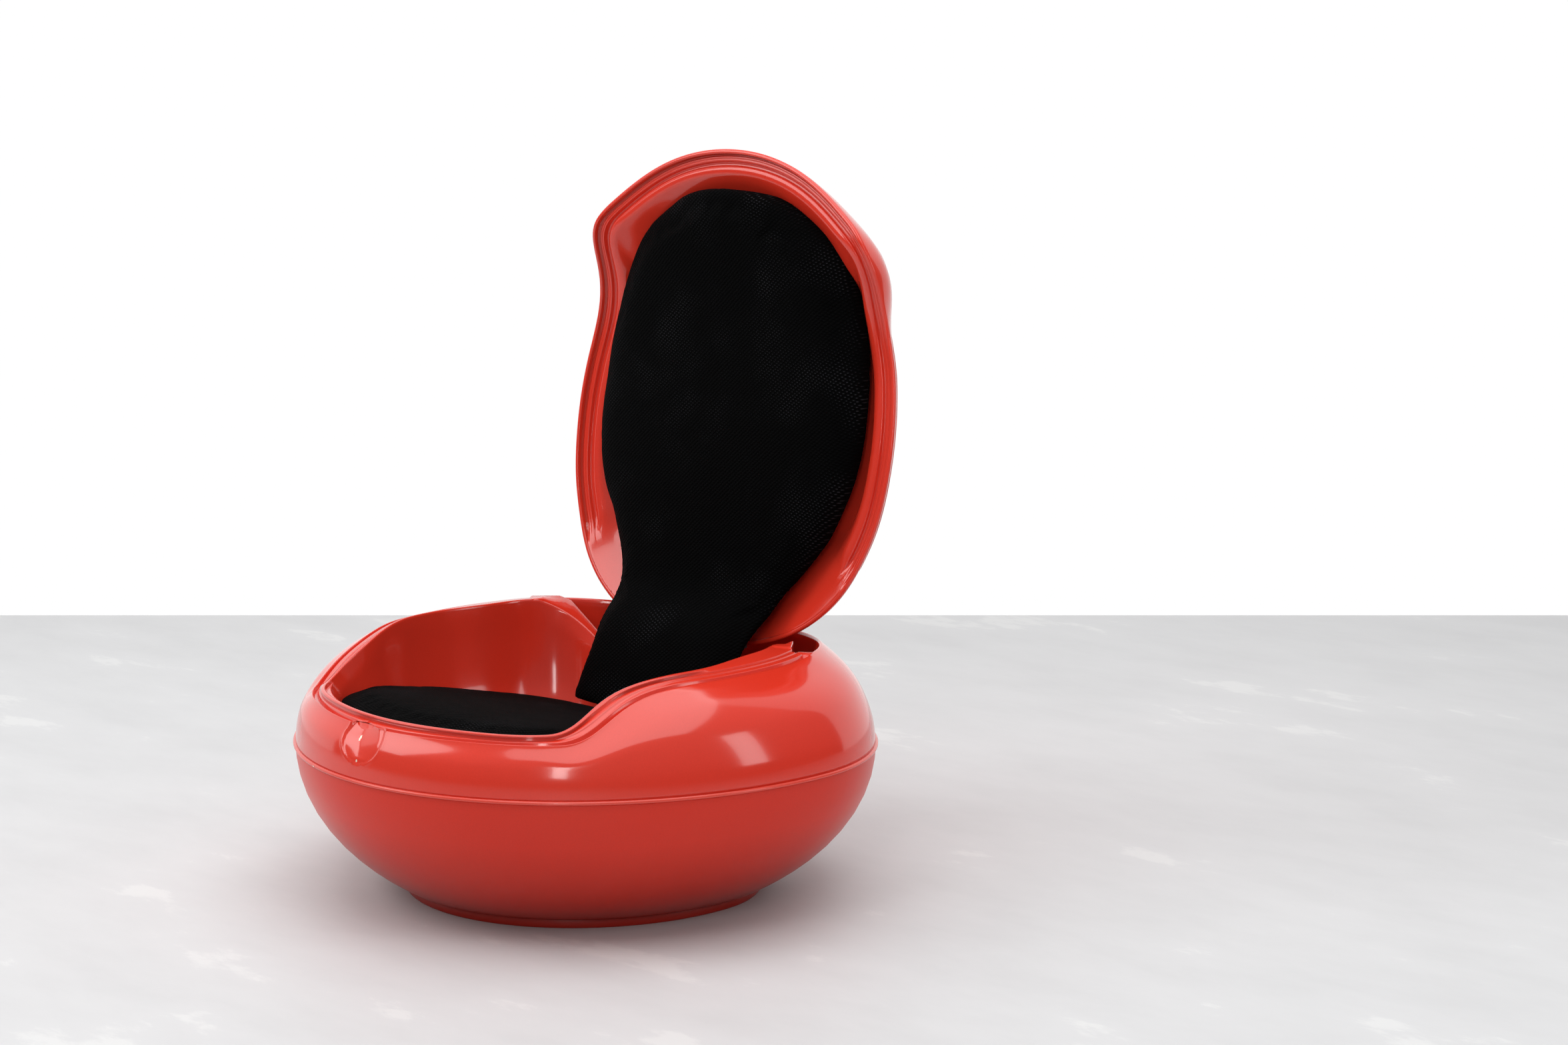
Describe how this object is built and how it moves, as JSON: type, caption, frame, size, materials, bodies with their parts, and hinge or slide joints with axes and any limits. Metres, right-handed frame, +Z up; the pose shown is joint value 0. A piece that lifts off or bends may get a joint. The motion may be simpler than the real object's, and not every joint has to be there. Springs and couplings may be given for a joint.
{
  "type": "pod chair",
  "caption": "Low pod-shaped garden chair in glossy red plastic; its hinged lid, drawn open, carries the cushioned back over a black cushioned seat.",
  "frame": {"origin": "on the floor, on the plane of symmetry, halfway along the pod's base", "axes": "+Z up, +X to the sitter's left, -Y to the front of the chair"},
  "size_m": [0.8478, 0.8088, 1.0126],
  "materials": {
    "red_shell": "gloss lacquer",
    "red_bead": "gloss lacquer, worn",
    "black_cloth": "fine diagonal rib",
    "dark_plastic": "matte",
    "zinc_steel": "zinc plated",
    "bright_steel": "ground",
    "nylon": "matte",
    "plywood": "raw",
    "black_rubber": "matte"
  },
  "bodies": {
    "base": {"lower_shell": "red_shell", "foot_ring": "red_shell", "foot_screws": "zinc_steel", "seam_bead": "red_bead", "upper_shell": "red_shell", "seat_basin": "red_shell", "basin_collar": "dark_plastic", "seat_cushion": "black_cloth", "back_tongue": "black_cloth", "hinge_bracket_left": "zinc_steel", "hinge_bracket_right": "zinc_steel", "bracket_bolts": "zinc_steel", "bracket_nuts": "zinc_steel", "hinge_shaft": "bright_steel", "shaft_clips": "zinc_steel", "stop_buffers": "black_rubber"},
    "lid": {"lid_shell": "red_shell", "lid_liner": "red_shell", "back_cushion": "black_cloth", "back_board": "plywood", "board_screws": "zinc_steel", "hinge_arm_left": "zinc_steel", "hinge_arm_right": "zinc_steel", "hinge_bush_left": "nylon", "hinge_bush_right": "nylon", "arm_bolts": "zinc_steel"}
  },
  "joints": [
    {"name": "lid_hinge", "type": "hinge", "parent": "base", "child": "lid", "pos_m": [0, 0.281, 0.363], "axis": [1, 0, 0], "range_deg": [0, 100], "deforming": ["back_tongue"]}
  ]
}
